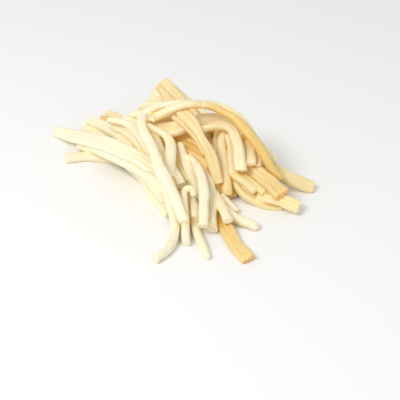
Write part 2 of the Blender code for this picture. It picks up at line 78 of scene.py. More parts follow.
rearStrings = {
    "rings": ((11, 0.55, 0.0), (8, 0.85, 38.0)),  # how many, where they start, how far they swing
    "angles": (-5.0, 160.0),
    "size": (6.5, 6.0),
    "middle": 0.95,
    "end": 1.22,
    "spread": (0.92, 1.1),
    "sway": 20.0,
    "seed": 5,
    "eyeHeight": 150.0,
    "tones": (0.05, 0.6),
    "toneStep": 0.37,
}

fresh = "fresh"
smoked = "smoked"

CheeseString = collections.namedtuple(
    "CheeseString", "name kind lobes wide thick route taper lift tuck sink tone ends crease stagger bands")


def cheese(name, kind, lobes, wide, thick, *route, taper=(1,), lift=(0,), tuck=(0, 0), sink=0, tone=(0.1,),
           ends=(0.45, 0.45), crease=0.72, stagger=(0, 0), bands=0):
    # Lengths are in mm. taper scales the width along the string, lift is its least height, tuck the shares at
    # its ends that go under others, and sink how much deeper it lies. The tone runs from pale at 0 to warm at
    # 1, pales further below 0, and above 1 paints shade, mixing toward the deep colour. ends is how round its
    # ends are, crease the share of the height left between lobes, and stagger how far the lobes end apart.
    return CheeseString(name, kind, lobes, wide, thick, route, taper, lift, tuck, sink, tone, ends, crease,
                        stagger, bands)


rearEnds = [
    cheese("slim smoked end", smoked, 1, 6.0, 4.8, (107.5, 113), (118, 116.8), (130, 123), (139, 130),
           lift=(9, 12, 15, 17), tuck=(0, 0.4), tone=(-0.2, 0.2)),
    cheese("low smoked end", smoked, 1, 4.4, 4.2, (102, 118), (111, 122), (123, 129), (136, 137),
           lift=(5, 10, 13), tone=(0.7,)),
    cheese("behind the arch", smoked, 1, 6.8, 6.2, (136, 130.5), (150, 125.5), (164, 120.5), (180, 114.5),
           lift=(16, 20, 23, 24), tone=(0.6,)),
    cheese("pale end", fresh, 1, 5.0, 4.5, (173.5, 87.5), (184, 97), (197, 108), (208, 118), lift=(31, 24),
           tuck=(0, 0.5), tone=(0.35,)),
    cheese("round end", fresh, 1, 6.8, 5.6, (153.3, 90), (162, 98), (171, 107), lift=(32.5, 26.5),
           tone=(0.35,), ends=(2.1, 0.5)),
    cheese("low end", fresh, 1, 7.4, 5.4, (149.2, 98), (158, 101), (170, 107), lift=(29, 20), tone=(0.45,),
           ends=(2, 0.5)),
    cheese("slim end", smoked, 1, 6.2, 5.2, (159.6, 85.2), (164.4, 92.6), (169.2, 100.1), (174, 108.6),
           lift=(36, 24), taper=(0.85, 1, 1.2, 1.3), tone=(0.2,)),
    cheese("broad end", smoked, 2, 8.4, 5.6, (163.8, 81.4), (171.8, 90.7), (180.8, 101.2), (190, 112.5),
           (197, 121), lift=(38, 25.5), tuck=(0, 0.5), taper=(0.9, 1.02, 1.15, 1.15),
           crease=0.95),
    cheese("double end", fresh, 2, 8.4, 4.8, (141.5, 106.3), (152, 105.8), (164, 107), (178, 112), (188, 119),
           lift=(24, 27, 27, 26), tuck=(0, 0.35), sink=2, tone=(0.35,), crease=0.66, stagger=(-1.6, 0)),
]

shadedMiddle = [
    # Tones above 1 on the upper, middle and lower strings paint shade: they lie in the loop's shadow.
    cheese("shaded, upper", fresh, 1, 5.6, 5.4, (170, 130), (182, 135.5), (194, 141.8), (208, 150),
           tone=(2, 1.6)),
    cheese("shaded, middle", fresh, 1, 5.8, 5.4, (176, 139.8), (191, 147.4), (210, 157.5), tone=(1.7, 1.3)),
    cheese("shaded, lower", fresh, 1, 5.8, 5.2, (178, 148), (194, 156.2), (210, 166.5), tone=(1.2,)),
    cheese("shaded, left", fresh, 1, 6.4, 6.0, (122, 118.5), (131, 120.5), (139, 127), (145, 136.5),
           (150, 148), tone=(0.05,)),
]

rightSide = [
    # Tones near and above 1 here are partly the strings' golden colour and partly painted shade, darker away
    # from the key light.
    cheese("low curve", fresh, 3, 13.0, 5.4, (238, 175.5), (244.5, 187.5), (252.6, 195.2), (264.5, 201.2),
           (283, 204), tone=(0.9, 1.25), crease=0.84),
    cheese("low triple end", fresh, 3, 10.2, 4.4, (258, 194.5), (270, 197.7), (284, 201), (299, 207.6),
           tuck=(0.4, 0), tone=(0.95,), crease=0.7, stagger=(0, 1.2), ends=(0.5, 1.6)),
    cheese("farthest pair", fresh, 2, 10.4, 6.0, (256, 158), (272, 168.5), (290, 179), (313.5, 187.8),
           tuck=(0.3, 0), tone=(1, 0.9), crease=0.84, ends=(0.5, 1.8), stagger=(0, 1)),
    cheese("pale strip", fresh, 1, 4.6, 4.4, (260, 160), (269, 167.5), (279, 177), tone=(0.5,)),
    cheese("short stub", fresh, 1, 5.2, 4.6, (240, 173), (247, 179), (255.5, 186), (264, 192.8),
           lift=(13, 10, 5, 2), tuck=(0.5, 0), tone=(1,)),
    cheese("short string", fresh, 1, 6.6, 5.2, (232, 173), (243, 181.5), (255.5, 190.8), tone=(0.8, 0.95)),
    cheese("wide ribbon", smoked, 3, 12.4, 5.0, (246, 165.5), (258, 174), (270, 183.5), (282.5, 194.8),
           tone=(0, 0.45), crease=0.9, stagger=(0, 0.8)),
    cheese("hanging, slim", fresh, 1, 5.2, 4.8, (253.3, 138), (257.2, 152), (258.4, 167), tone=(0.6,),
           ends=(0.5, 1.2)),
    cheese("hanging, flat", fresh, 1, 8.4, 5.2, (244.8, 132), (248.8, 148), (250.1, 165), tone=(0.6, 0.5),
           ends=(0.5, 0.9)),
]

upperLoops = [
    # Tones below 0 paint light on its middle, which lies in the arch's shadow.
    cheese("loop of three", smoked, 3, 11.8, 5.4, (147, 127), (159, 129.6), (171.5, 129.4), (182, 127),
           (190, 124.2), (198, 122.2), (206, 121), (215, 120), (225, 121), (236, 126), (246, 134.5),
           taper=(0.6, 0.85, 1.08, 1.08, 0.95, 0.92, 1, 1, 0.95, 0.9, 0.85),
           lift=(24, 29, 32, 32.5, 32, 32, 33, 33, 32, 29, 26), tone=(0.05, -0.3, -0.6, -0.9, -0.5),
           crease=0.88),
    cheese("inner drop", fresh, 1, 6.6, 4.8, (220, 129), (217.5, 137), (216.5, 147), (217, 160),
           lift=(27, 26, 22, 17), taper=(1, 0.95, 0.8, 0.7), tone=(0.4,)),
    # A darker smoked string painting the shade under the elbow drop's lower lobes.
    cheese("dark underside", smoked, 1, 5.6, 4.8, (212.5, 173), (217.5, 187), (221, 198), tone=(0.9,)),
    # Tones below 0 paint light on its upper part, which lies in shade.
    cheese("elbow drop", smoked, 1, 7.5, 6.3, (226, 129.5), (222.8, 137.5), (221.4, 145), (222.2, 153),
           (224, 165), (226, 180), (226.3, 196.5), taper=(0.75, 0.9, 0.97, 0.95, 0.96, 1.02, 1.12),
           tone=(-0.6, -0.4, 0.3)),
    cheese("curl, thin edge", fresh, 1, 6.4, 5.0, (228, 134), (230.8, 148), (232.3, 161), (232.6, 174.8),
           sink=1, tone=(0.45, 0.4)),
    cheese("curl", fresh, 2, 8.8, 5.8, (200, 129.3), (209, 128), (217.5, 126.3), (225, 126.2), (231.5, 129.8),
           (235.4, 137), (238.1, 148), (239.2, 159), (240.6, 170.8),
           taper=(0.5, 0.58, 0.66, 0.76, 0.88, 0.95, 1, 1, 1.03), sink=1, tone=(0.55, 0.4), crease=0.93,
           stagger=(0, -1.2)),
]

leftFan = [
    cheese("lone string", fresh, 1, 7.8, 6.4, (65, 158.6), (80, 157.2), (95, 156.8), (109, 158.5),
           (124, 162.5), ends=(1.4, 0.5)),
    cheese("outer flank", fresh, 2, 11.0, 6.4, (113, 154.8), (127.2, 161.9), (139.2, 171.2), (149, 181.8),
           (155.8, 194.3), (163.8, 204.5), (172, 214), tone=(0.05,), crease=0.84),
    cheese("inner flank", fresh, 1, 7.4, 6.4, (122, 157), (136, 165.5), (150, 176.5), (162, 189.5),
           (170, 201), tuck=(0, 0.4)),
    cheese("over flank", fresh, 1, 7.0, 5.8, (116, 157), (131, 165), (143.5, 174.8), (153.5, 186), (162, 198),
           (169, 209), tuck=(0, 0.3), tone=(0.05,)),
    cheese("under ribbon", fresh, 1, 7.4, 6.0, (79.5, 145.8), (92, 148.4), (105, 153), (120, 160), (135, 168),
           (150, 177), (168, 190), tuck=(0, 0.4), lift=(4, 8, 10.5), tone=(0.06,), ends=(0.9, 0.5)),
    cheese("small pair", fresh, 2, 8.2, 4.8, (84, 127.3), (94, 130.3), (104, 134.5), (113, 139),
           lift=(2.4, 5, 8), crease=0.7, stagger=(1.4, 0)),
    cheese("upper pair", fresh, 2, 8.8, 5.6, (89.5, 120.7), (101, 124.8), (113, 131.5), (126, 141),
           (151, 161), (162, 170), tuck=(0, 0.4), tone=(0.02, 0.1), crease=0.86),
    cheese("crossing", fresh, 1, 8.6, 6.0, (113, 125), (124, 130), (132.5, 136.5), (146, 152), (158, 166),
           tuck=(0, 0.4), tone=(0.06,)),
    cheese("top of fan", fresh, 1, 6.2, 5.6, (107, 120.3), (119, 121.5), (130.5, 126.5), (139, 136),
           (150, 157), (156, 168), tuck=(0, 0.4), taper=(0.7, 1, 1.15, 1.1, 1), tone=(0.02,),
           ends=(1.8, 0.5)),
    cheese("long ribbon", fresh, 3, 12.8, 6.2, (56, 131.3), (70, 135.3), (84, 138.8), (100, 142.5),
           (118, 149), (138, 158.8), (164, 177), taper=(0.74, 0.86, 0.95, 1, 1, 1, 1), tuck=(0, 0.22),
           tone=(0, 0.02), crease=0.85, stagger=(2.4, 0), ends=(1.1, 0.5)),
]

middle = [
    cheese("beside diagonal", fresh, 1, 6.4, 5.4, (147.5, 127), (155, 138), (160.5, 148.5), (165.5, 160),
           lift=(27, 27, 25, 22), taper=(0.7, 1, 1, 0.9), tone=(0.12,)),
    cheese("dark short end", fresh, 1, 5.4, 5.0, (175, 156), (181.5, 169), (187.5, 182.5), tone=(0.5,)),
    cheese("cut end", fresh, 1, 7.4, 5.6, (167, 162), (173.8, 172.5), (181, 185.5), lift=(20, 19, 17),
           tone=(0.2,)),
    cheese("bent over", fresh, 1, 8.2, 6.4, (147, 125.5), (157, 130.5), (167, 137), (170.8, 147),
           (170.4, 161), (168.5, 178), taper=(0.5, 0.6, 0.85, 1, 1, 1), tuck=(0, 0.25), tone=(0.12, 0.08)),
    cheese("thin edge", smoked, 1, 4.8, 4.4, (172.3, 115.7), (181, 121.5), (190, 130), (198.5, 141.5),
           (206, 155), ends=(1.6, 0.5), tone=(-0.1,)),
    cheese("smoked ribbon", smoked, 2, 8.6, 5.8, (180, 109), (188, 118), (196, 128), (202, 139), (208.3, 150),
           (212, 160), (214.8, 170), (218, 183.5), taper=(1.1, 1.15, 1.05, 0.72, 0.8, 1, 1, 0.9),
           tone=(0.05, 0.1, 0.1), crease=0.88, ends=(1.2, 0.6)),
]

frontEnds = [
    cheese("triple ribbon", smoked, 3, 10.2, 5.2, (217.5, 205), (226, 228), (236, 245), (248.8, 260),
           tone=(0.6, 0.45), crease=0.84, stagger=(0, 1.4)),
    cheese("long end", fresh, 1, 6.4, 5.8, (224, 208), (233, 216.5), (245, 222), (258.5, 228),
           tone=(0.12, 0.08), ends=(0.5, 2.4)),
    cheese("short end", fresh, 1, 5.6, 5.2, (220.6, 196), (228, 203.8), (236.8, 211.8), tone=(0.15,)),
    cheese("blunt end", fresh, 1, 6.8, 5.8, (213.6, 192.5), (219.6, 203.5), (228, 220.5), tone=(0.12,)),
    cheese("under pair", fresh, 1, 7.8, 5.8, (207, 206), (210.5, 220), (212, 230.5), tone=(0.08,)),
    cheese("tapered tip", fresh, 1, 5.8, 5.2, (186, 188), (189, 202), (193, 217), (197.5, 234), (203, 247),
           (208.2, 258.3), taper=(1, 1.1, 1.1, 1.1, 1, 1.05, 0.6), lift=(5, 3.5, 2), tuck=(0.45, 0), sink=3.5,
           tone=(0.08,), ends=(0.5, 1.6)),
    cheese("small elbow", fresh, 1, 5.5, 5.0, (193.4, 194.8), (191.4, 189.5), (187, 189), (184, 196),
           (184.3, 208), (186.2, 244), lift=(13, 15.5, 15.5, 12.5, 6.5, 2, 2, 2), tuck=(0.2, 0),
           taper=(0.75, 0.88, 0.96, 1.05, 1.05, 1.05), tone=(0.04,), ends=(1.8, 0.4)),
    cheese("left of pair", fresh, 1, 7.8, 6.4, (179.6, 143), (182.8, 154.5), (187, 165.5), (191.5, 176.5),
           (195.8, 188), (200.5, 200), taper=(0.6, 0.95, 1.03, 1, 0.9, 0.7), tuck=(0, 0.3),
           ends=(1.4, 0.6)),
    cheese("rounded end", fresh, 1, 6.2, 5.6, (190.8, 193), (193.8, 204), (195.2, 218.3),
           taper=(0.8, 1, 0.95), lift=(12, 9.5, 7), tuck=(1, 0), ends=(0.5, 2.4)),
    cheese("pair, right", fresh, 1, 6.4, 6.0, (197.5, 165.5), (203.5, 171.5), (208.2, 178.5), (211, 187),
           (212, 198), (212, 225), taper=(0.8, 0.95, 1, 1, 0.95), tuck=(0.2, 0), tone=(0.15, 0.1)),
    cheese("pair, left", fresh, 1, 7.2, 6.4, (188.6, 156.5), (193, 161.6), (197.8, 168.6), (201.2, 177.5),
           (203.2, 188), (203.9, 202), (203.2, 226.2), taper=(0.6, 0.85, 1, 1.03, 1, 0.97, 0.92),
           tuck=(0.3, 0), lift=(18.5, 21.8, 19.8, 14.8, 8), tone=(0.06, 0.04)),
]

lastOnTop = [
    cheese("arch, outer rim", fresh, 1, 5.6, 5.2, (131.5, 114.8), (145, 113), (156, 108.3), (168, 105),
           (182, 104), (200, 104), (212, 104.5), (223, 107.3), (234, 113), (245, 123.5), (257, 141.5),
           (265, 150.5), (274.5, 160.3), taper=(1, 1.1, 1, 0.9, 0.85, 0.9, 1, 1),
           lift=(29, 34, 37, 38, 38, 37, 31, 18, 8), tone=(0.15, 0.1, 0.1, 0.3, 0.5, 0.4, 0.3)),
    cheese("stub under arch", fresh, 1, 3.8, 3.8, (153.8, 120.4), (154, 115.5), (155.4, 109), tuck=(0, 0.5),
           lift=(37, 36, 31), tone=(0.15,), ends=(1.2, 0.5)),
    cheese("left stub under arch", fresh, 1, 4.2, 3.8, (149.2, 119.8), (149.2, 113.5), (150.2, 107),
           tuck=(0, 0.5), lift=(36, 36, 33), tone=(0.3,), ends=(1.2, 0.5)),
    # Tones above 1 paint shade along its right part, which lies in shadow.
    cheese("arch, inner", smoked, 1, 6.2, 5.6, (155.8, 117), (163, 113.1), (171.5, 109), (181, 106.3),
           (191, 104.6), (201, 104.8), (212, 107), (224, 112), (236, 119.7), (248, 132), (255, 141.5),
           (262, 152), (270, 165), (281, 179),
           taper=(0.95, 0.98, 0.85, 0.8, 0.85, 0.95, 1.1, 1.15, 1.1, 0.9, 0.5),
           lift=(28, 31, 34, 36, 35, 30, 23, 15, 8, 4), tone=(-0.7, -0.5, 0.1, 0.7, 1, 1.2, 1.2, 0.6),
           bands=1),
    cheese("front curl", fresh, 1, 7.3, 6.6, (157, 165), (164, 182), (171.5, 205), (175, 226), (173.2, 240),
           (165.5, 251.5), (154.8, 259.3), taper=(1, 1, 1, 0.95, 0.87, 0.84, 0.84), tone=(0.03,)),
    cheese("long diagonal", fresh, 1, 7.4, 6.6, (142.5, 113.8), (142, 126), (148.4, 140), (158.3, 162.5),
           (173, 193.5), (184.8, 222.5), taper=(0.92, 0.95, 0.95, 1.03, 1.05, 0.92), tone=(0.08, 0),
           ends=(2.2, 0.4)),
]

layingOrder = rearEnds + shadedMiddle + rightSide + upperLoops + leftFan + middle + frontEnds + lastOnTop


def unit(vectors):
    return vectors / np.linalg.norm(vectors, axis=-1, keepdims=True)


def viewAxes():
    elevation = math.radians(viewpoint["elevation"])
    roll = math.radians(viewpoint["roll"])
    back = np.array([0.0, -math.cos(elevation), math.sin(elevation)])
    level = np.array([1.0, 0.0, 0.0])
    upright = np.cross(level, -back)
    right = level * math.cos(roll) + upright * math.sin(roll)
    up = upright * math.cos(roll) - level * math.sin(roll)
    return right, up, back


rightAxis, upAxis, backAxis = viewAxes()
eye = np.array(viewpoint["target"]) + backAxis * viewpoint["distance"]


def sightLines(points):
    across = (points[:, :1] - viewpoint["picture"] / 2) / viewpoint["focalLength"]
    down = (points[:, 1:2] - viewpoint["picture"] / 2) / viewpoint["focalLength"]
    return unit(rightAxis * across - upAxis * down - backAxis)


def moundHeight(x, y):
    across = (x - mound["middle"][0]) / mound["halfSize"][0]
    deep = (y - mound["middle"][1]) / mound["halfSize"][1]
    ring = np.hypot(across, deep)
    return mound["height"] * np.sqrt(np.clip(1 - ring ** mound["shoulder"], 0, 1)), ring


def onMound(rings, turns):
    # places over the mound, from 0 at its middle to 1 at its foot
    across = mound["middle"][0] + rings * mound["halfSize"][0] * np.cos(turns)
    deep = mound["middle"][1] + rings * mound["halfSize"][1] * np.sin(turns)
    return np.column_stack([across, deep])


def lobeOffsets(wide, thick, lobes):
    half = (wide - thick) / 2
    return np.linspace(-half, half, lobes) if lobes > 1 else np.zeros(1)


class Heap:
    # the strings laid so far, as balls along their lobes
    def __init__(self):
        self.middles = np.zeros((0, 3))
        self.radii = np.zeros(0)

    def add(self, path, sides, wide, thick, lobes):
        for offset in lobeOffsets(wide, thick, lobes):
            self.middles = np.vstack([self.middles, path + sides * offset])
            self.radii = np.append(self.radii, np.full(len(path), thick / 2))

    def firstRest(self, origins, directions, radius, tucked):
        # how far along each sight line a string first touches the surface, the mound or another string
        reach = (radius - laying["sink"] - origins[:, 2]) / directions[:, 2]
        back = np.arange(laying["searchLength"], -laying["searchStep"], -laying["searchStep"])
        tried = reach[:, None] - back
        spots = origins[:, None] + directions[:, None] * tried[..., None]
        height, ring = moundHeight(spots[..., 0], spots[..., 1])
        inside = (spots[..., 2] < height + laying["press"] * radius) & (ring < 1)
        first = tried[np.arange(len(tried)), inside.argmax(axis=1)]
        reach = np.where(inside.any(axis=1), np.minimum(reach, first), reach)
        if len(self.radii):
            apart = self.middles[None] - origins[:, None]
            nearest = (apart * directions[:, None]).sum(axis=-1)
            miss = (apart ** 2).sum(axis=-1) - nearest ** 2
            overlap = (laying["press"] * (radius + self.radii)) ** 2 - miss
            contact = np.where(overlap > 0, nearest - np.sqrt(np.maximum(overlap, 0)), np.inf)
            reach = np.where(tucked, reach, np.minimum(reach, contact.min(axis=1)))
        return reach


def travelledAlong(points):
    return np.concatenate([[0], np.cumsum(np.linalg.norm(np.diff(points, axis=0), axis=1))])


def smoothCurve(points, count):
    # count points evenly along a natural cubic spline
    points = np.asarray(points, float)
    at = travelledAlong(points)
    gaps = np.diff(at)
    system = np.eye(len(at))
    bends = np.zeros_like(points)
    for i in range(1, len(at) - 1):
        system[i, i - 1:i + 2] = gaps[i - 1], 2 * (gaps[i - 1] + gaps[i]), gaps[i]
        bends[i] = 6 * (points[i + 1] - points[i]) / gaps[i] - 6 * (points[i] - points[i - 1]) / gaps[i - 1]
    bends = np.linalg.solve(system, bends)
    where = np.linspace(0, at[-1], count)
    span = np.clip(np.searchsorted(at, where, side="right") - 1, 0, len(at) - 2)
    gap = gaps[span][:, None]
    past = (where - at[span])[:, None]
    left = gap - past
    curve = (bends[span] * left ** 3 + bends[span + 1] * past ** 3) / (6 * gap)
    curve += (points[span] / gap - bends[span] * gap / 6) * left
    curve += (points[span + 1] / gap - bends[span + 1] * gap / 6) * past
    return curve


def along(values, share):
    return np.interp(share, np.linspace(0, 1, len(values)), values)


def settle(lowest, step):
    # heights on or above the lowest ones that bend no more sharply than a stiff string does
    count = len(lowest)
    second = np.diff(np.eye(count), 2, axis=0)
    stiffness = (laying["stiffLength"] / step) ** 4 * second.T @ second
    heights = lowest.copy()
    push = np.zeros(count)
    for _ in range(laying["pushRounds"]):
        sunk = heights < lowest - laying["closeEnough"]
        eased = np.where(heights > lowest + laying["releaseGap"], laying["release"], 1) * push
        push = np.where(sunk, np.minimum(2 * push + laying["pushStart"], laying["pushMost"]), eased)
        heights = np.linalg.solve(stiffness + np.diag(1 + push), lowest * (1 + push))
    return heights


def directionsOf(path):
    return unit(np.gradient(path, axis=0))


def layString(heap, one):
    length = travelledAlong(one.route)[-1] / viewpoint["pointsPerMm"]
    count = max(laying["fewestPoints"], math.ceil(length / laying["pointSpacing"]) + 1)
    line = smoothCurve(one.route, count)
    ahead = directionsOf(line)
    aside = np.column_stack([ahead[:, 1], -ahead[:, 0]])
    origins = np.tile(eye, (count, 1))
    lowest = np.zeros(count)
    share = np.linspace(0, 1, count)
    tucked = (share < one.tuck[0]) | (share > 1 - one.tuck[1])
    for offset in lobeOffsets(one.wide, one.thick, one.lobes):
        sight = sightLines(line + aside * offset * viewpoint["pointsPerMm"])
        reach = heap.firstRest(origins, sight, one.thick / 2, tucked)
        lowest = np.maximum(lowest, (origins + sight * reach[:, None])[:, 2])
    lowest = np.maximum(lowest - one.sink, along(one.lift, share))
    heights = settle(lowest, length / (count - 1))
    sight = sightLines(line)
    path = origins + sight * ((heights - eye[2]) / sight[:, 2])[:, None]
    sides = unit(np.cross(directionsOf(path), unit(backAxis + np.array([0.0, 0.0, 1.0]))))
    heap.add(path, sides, one.wide, one.thick, one.lobes)
    return path, sides


def layDown(heap, route, wide, thick, lobes=1):
    # lays a string straight down on what lies there
    length = travelledAlong(route)[-1]
    count = math.ceil(length / laying["pointSpacing"]) + 1
    line = smoothCurve(route, count)
    origins = np.column_stack([line, np.full(count, rearStrings["eyeHeight"])])
    downward = np.tile([0.0, 0.0, -1.0], (count, 1))
    reach = heap.firstRest(origins, downward, thick / 2, np.zeros(count, bool))
    heights = settle(rearStrings["eyeHeight"] - reach, length / (count - 1))
    path = np.column_stack([line, heights])
    sides = unit(np.cross(directionsOf(path), [0.0, 0.0, 1.0]))
    return path, sides


# The strings under all the others: half sunk in the mound, so that no gap shows it bare
underStrings = {
    "rings": ((17, 0.06), (17, 0.5)),  # how many, and where they start
    "end": 1.04,
    "size": (6.4, 5.6),
    "depth": 0.9,  # how far their middle line lies under the mound's surface, in mm
    "lowest": 0.4,
    "swing": 24.0,
    "uneven": 0.2,
    "tone": 0.6,
    "routePoints": 12,
    "points": 24,
    "seed": 11,
}

# Further strings over the rear half, which carry nothing
extraRear = {
    "angles": (2.0, 143.8),
    "count": 11,
    "start": (0.12, 0.45),
    "middle": 0.7,
    "end": (0.95, 1.16),
    "sizes": ((6.2, 5.8, 1), (8.6, 5.2, 2), (5.4, 5.2, 1), (9.8, 5.0, 3)),  # wide, thick and lobes
    "swing": 30.0,
    "swingBack": (-0.4, 0.6),
    "sink": 1.6,
    "drop": 13.0,  # how much deeper its far end is pressed, in mm
    "flattened": 0.4,
    "tones": (0.05, 0.5),
    "seed": 23,
}


def plainString(kind, lobes, wide, thick, tone):
    return cheese("plain", kind, lobes, wide, thick, tone=(tone,))


def layRear(heap):
    draw = np.random.default_rng(rearStrings["seed"])
    sway = rearStrings["sway"]
    low, high = rearStrings["tones"]
    wide, thick = rearStrings["size"]
    found = []
    for count, start, swing in rearStrings["rings"]:
        for angle in np.linspace(*rearStrings["angles"], count):
            angle += draw.uniform(-sway, sway) / 4
            far = draw.uniform(*rearStrings["spread"])
            turns = np.radians([angle - swing, angle, angle + draw.uniform(-sway, sway)])
            rings = np.array([start, rearStrings["middle"] * far, rearStrings["end"] * far])
            path, sides = layDown(heap, onMound(rings, turns), wide, thick)
            heap.add(path, sides, wide, thick, 1)
            kind = (fresh, smoked)[len(found) % 2]
            tone = low + (high - low) * (len(found) * rearStrings["toneStep"] % 1)
            found.append((plainString(kind, 1, wide, thick, tone), path, sides))
    return found


def layExtraRear(heap):
    draw = np.random.default_rng(extraRear["seed"])
    found = []
    for number, angle in enumerate(np.linspace(*extraRear["angles"], extraRear["count"])):
        wide, thick, lobes = extraRear["sizes"][number % len(extraRear["sizes"])]
        swing = draw.uniform(-1, 1) * extraRear["swing"]
        turns = np.radians([angle - swing, angle, angle + swing * draw.uniform(*extraRear["swingBack"])])
        start, end = draw.uniform(*extraRear["start"]), draw.uniform(*extraRear["end"])
        rings = np.array([start, extraRear["middle"], end])
        path, sides = layDown(heap, onMound(rings, turns), wide, thick, lobes)
        press = extraRear["sink"] + extraRear["drop"] * np.linspace(0, 1, len(path)) ** 2
        path[:, 2] = np.maximum(path[:, 2] - press, thick / 2 - extraRear["flattened"])
        kind = (fresh, smoked)[(number // 2) % 2]
        tone = draw.uniform(*extraRear["tones"])
        found.append((plainString(kind, lobes, wide, thick, tone), path, sides))
    return found


def layUnderStrings():
    draw = np.random.default_rng(underStrings["seed"])
    wide, thick = underStrings["size"]
    uneven = underStrings["uneven"]
    found = []
    for count, start in underStrings["rings"]:
        rings = np.linspace(start, underStrings["end"], underStrings["routePoints"])
        for number in range(count):
            turn = (number + draw.uniform(-uneven, uneven) + start) * 360 / count
            swing = draw.uniform(0.5, 1) * underStrings["swing"]
            turns = np.radians(np.linspace(turn, turn + swing, underStrings["routePoints"]))
            places = onMound(rings, turns)
            height = moundHeight(places[:, 0], places[:, 1])[0] - underStrings["depth"]
            route = np.column_stack([places, np.maximum(height, underStrings["lowest"])])
            path = smoothCurve(route, underStrings["points"])
            sides = unit(np.cross(directionsOf(path), [0.0, 0.0, 1.0]))
            kind = (fresh, smoked)[number % 3 == 1]
            found.append((plainString(kind, 1, wide, thick, underStrings["tone"]), path, sides))
    return found


def layHeap():
    heap = Heap()
    laid = layRear(heap)
    laid += layExtraRear(heap)
    laid += [(one, *layString(heap, one)) for one in layingOrder]
    laid += layUnderStrings()
    return heap, laid


heap, laid = layHeap()
print("laid", len(laid), "strings")

# How finely a string is meshed and how uneven it is, in millimetres
skin = {
    "seed": 1000,
    "ringSpacing": 1.0,
    "sidesByLobes": {1: 22, 2: 38, 3: 50},
    "squareness": 2.5,
    "lobeSquareness": 10,
    "grooveWidth": 0.3,
    "grooveDepth": 0.9,
    "groovePoints": 2,  # how much closer the points are in a groove
    "sizeChange": 0.035,
    "sizeWave": 22.0,
    "drift": 0.22,
    "driftWave": 26.0,
    "driftFade": 6,
    "twist": 7.0,  # in degrees
    "twistWave": 45.0,
    "relief": 0.1,
    "reliefWaves": 7,
    "reliefDrift": (1.6, 60.0),  # how far the relief wanders round the string, and over what length
    "lobeChange": 0.08,
    "lobeReach": 0.35,
    "smoothing": 1.5,
    "liftOff": 0.05,
}

# How a string ends, in millimetres
cut = {
    "roundMost": 0.42,
    "roundRings": (0, 0.12, 0.35, 0.65),
    "tilt": 0.16,
    "fade": 3.5,  # how far the cut's slant reaches along the string
    "groove": 0.4,
    "staggerFade": (6, 4),
    "dish": (-0.25, 0.35),
    "roundEnd": 1.2,  # an end rounder than this has a flatter dish
    "roundDish": 0.3,
    "rings": (0.93, 0.72, 0.45, 0.2),
    "relief": 0.06,
    "rimColour": 0.6,
}

bandLook = {
    "spacing": 8.5,
    "uneven": (0.6, 1.4),
    "width": (0.5, 1.1),
    "strength": (0.4, 1),
}


def sectionOutline(one, count):
    # outline across a string, from its right edge over the top, and how near each point is to a groove
    x = one.wide / 2 * np.cos(np.linspace(0, math.pi, 361))
    groove = np.zeros(len(x))
    if one.lobes == 1:
        power = skin["squareness"]
        y = one.thick / 2 * np.clip(1 - np.abs(2 * x / one.wide) ** power, 0, 1) ** (1 / power)
    else:
        centres = lobeOffsets(one.wide, one.thick, one.lobes)
        pitch = centres[1] - centres[0]
        inner = pitch / 2 / math.sqrt(1 - one.crease ** 2)
        reach = x[:, None] - centres
        radius = np.full(reach.shape, inner)
        radius[:, 0] = np.where(reach[:, 0] < 0, one.thick / 2, inner)
        radius[:, -1] = np.where(reach[:, -1] > 0, one.thick / 2, inner)
        heights = np.sqrt(np.clip(1 - (reach / radius) ** 2, 0, 1))
        power = skin["lobeSquareness"]
        y = one.thick / 2 * (heights ** power).sum(axis=1) ** (1 / power)
        between = (centres[1:] + centres[:-1]) / 2
        groove = np.exp(-((x[:, None] - between) / skin["grooveWidth"]) ** 2).sum(axis=1)
        y -= skin["grooveDepth"] * (1 - one.crease) * groove
    x = np.concatenate([x, -x[1:]])
    y = np.concatenate([y, -y[-2::-1]])
    groove = np.concatenate([groove, groove[-2::-1]])
    closer = 1 + skin["groovePoints"] * (groove[1:] + groove[:-1]) / 2
    travelled = np.concatenate([[0], np.cumsum(np.hypot(np.diff(x), np.diff(y)) * closer)])
    at = np.linspace(0, travelled[-1], count + 1)[:-1]
    points = np.column_stack([np.interp(at, travelled, x), np.interp(at, travelled, y)])
    turned = np.roll(points, -1, axis=0) - np.roll(points, 1, axis=0)
    outward = unit(np.column_stack([turned[:, 1], -turned[:, 0]]))
    lengths = np.linalg.norm(np.roll(points, -1, axis=0) - points, axis=1)
    around = np.concatenate([[0], np.cumsum(lengths)])[:-1] / lengths.sum()
    return points, outward, np.interp(at, travelled, groove), around


def slowNoise(draw, at, wave):
    total = np.zeros(len(at))
    for _ in range(3):
        total += np.sin(at * 2 * math.pi / (wave * draw.uniform(0.6, 1.7)) + draw.uniform(0, 2 * math.pi))
    return total / 2


def ringPlaces(length, ends):
    # even rings along the string, and closer ones over its two rounded ends
    ease = np.array(cut["roundRings"])
    count = max(3, round((length - sum(ends)) / skin["ringSpacing"]))
    body = np.linspace(ends[0], length - ends[1], count + 1)
    return np.concatenate([ease * ends[0], body, length - ease[::-1] * ends[1]])


def smoothed(rows, window):
    if window < 2:
        return rows
    padded = np.vstack([np.repeat(rows[:1], window, axis=0), rows, np.repeat(rows[-1:], window, axis=0)])
    kernel = np.hanning(2 * window + 1)
    kernel /= kernel.sum()
    return np.column_stack([np.convolve(column, kernel, "valid") for column in padded.T])


def crossBands(one, at, draw):
    # pale bands across a stretched smoked string
    total = np.zeros(len(at))
    if one.bands:
        place = draw.uniform(0, bandLook["spacing"])
        while place < at[-1]:
            band = np.exp(-((at - place) / draw.uniform(*bandLook["width"])) ** 2)
            total += band * draw.uniform(*bandLook["strength"])
            place += bandLook["spacing"] * draw.uniform(*bandLook["uneven"])
    return np.clip(total, 0, 1) * one.bands


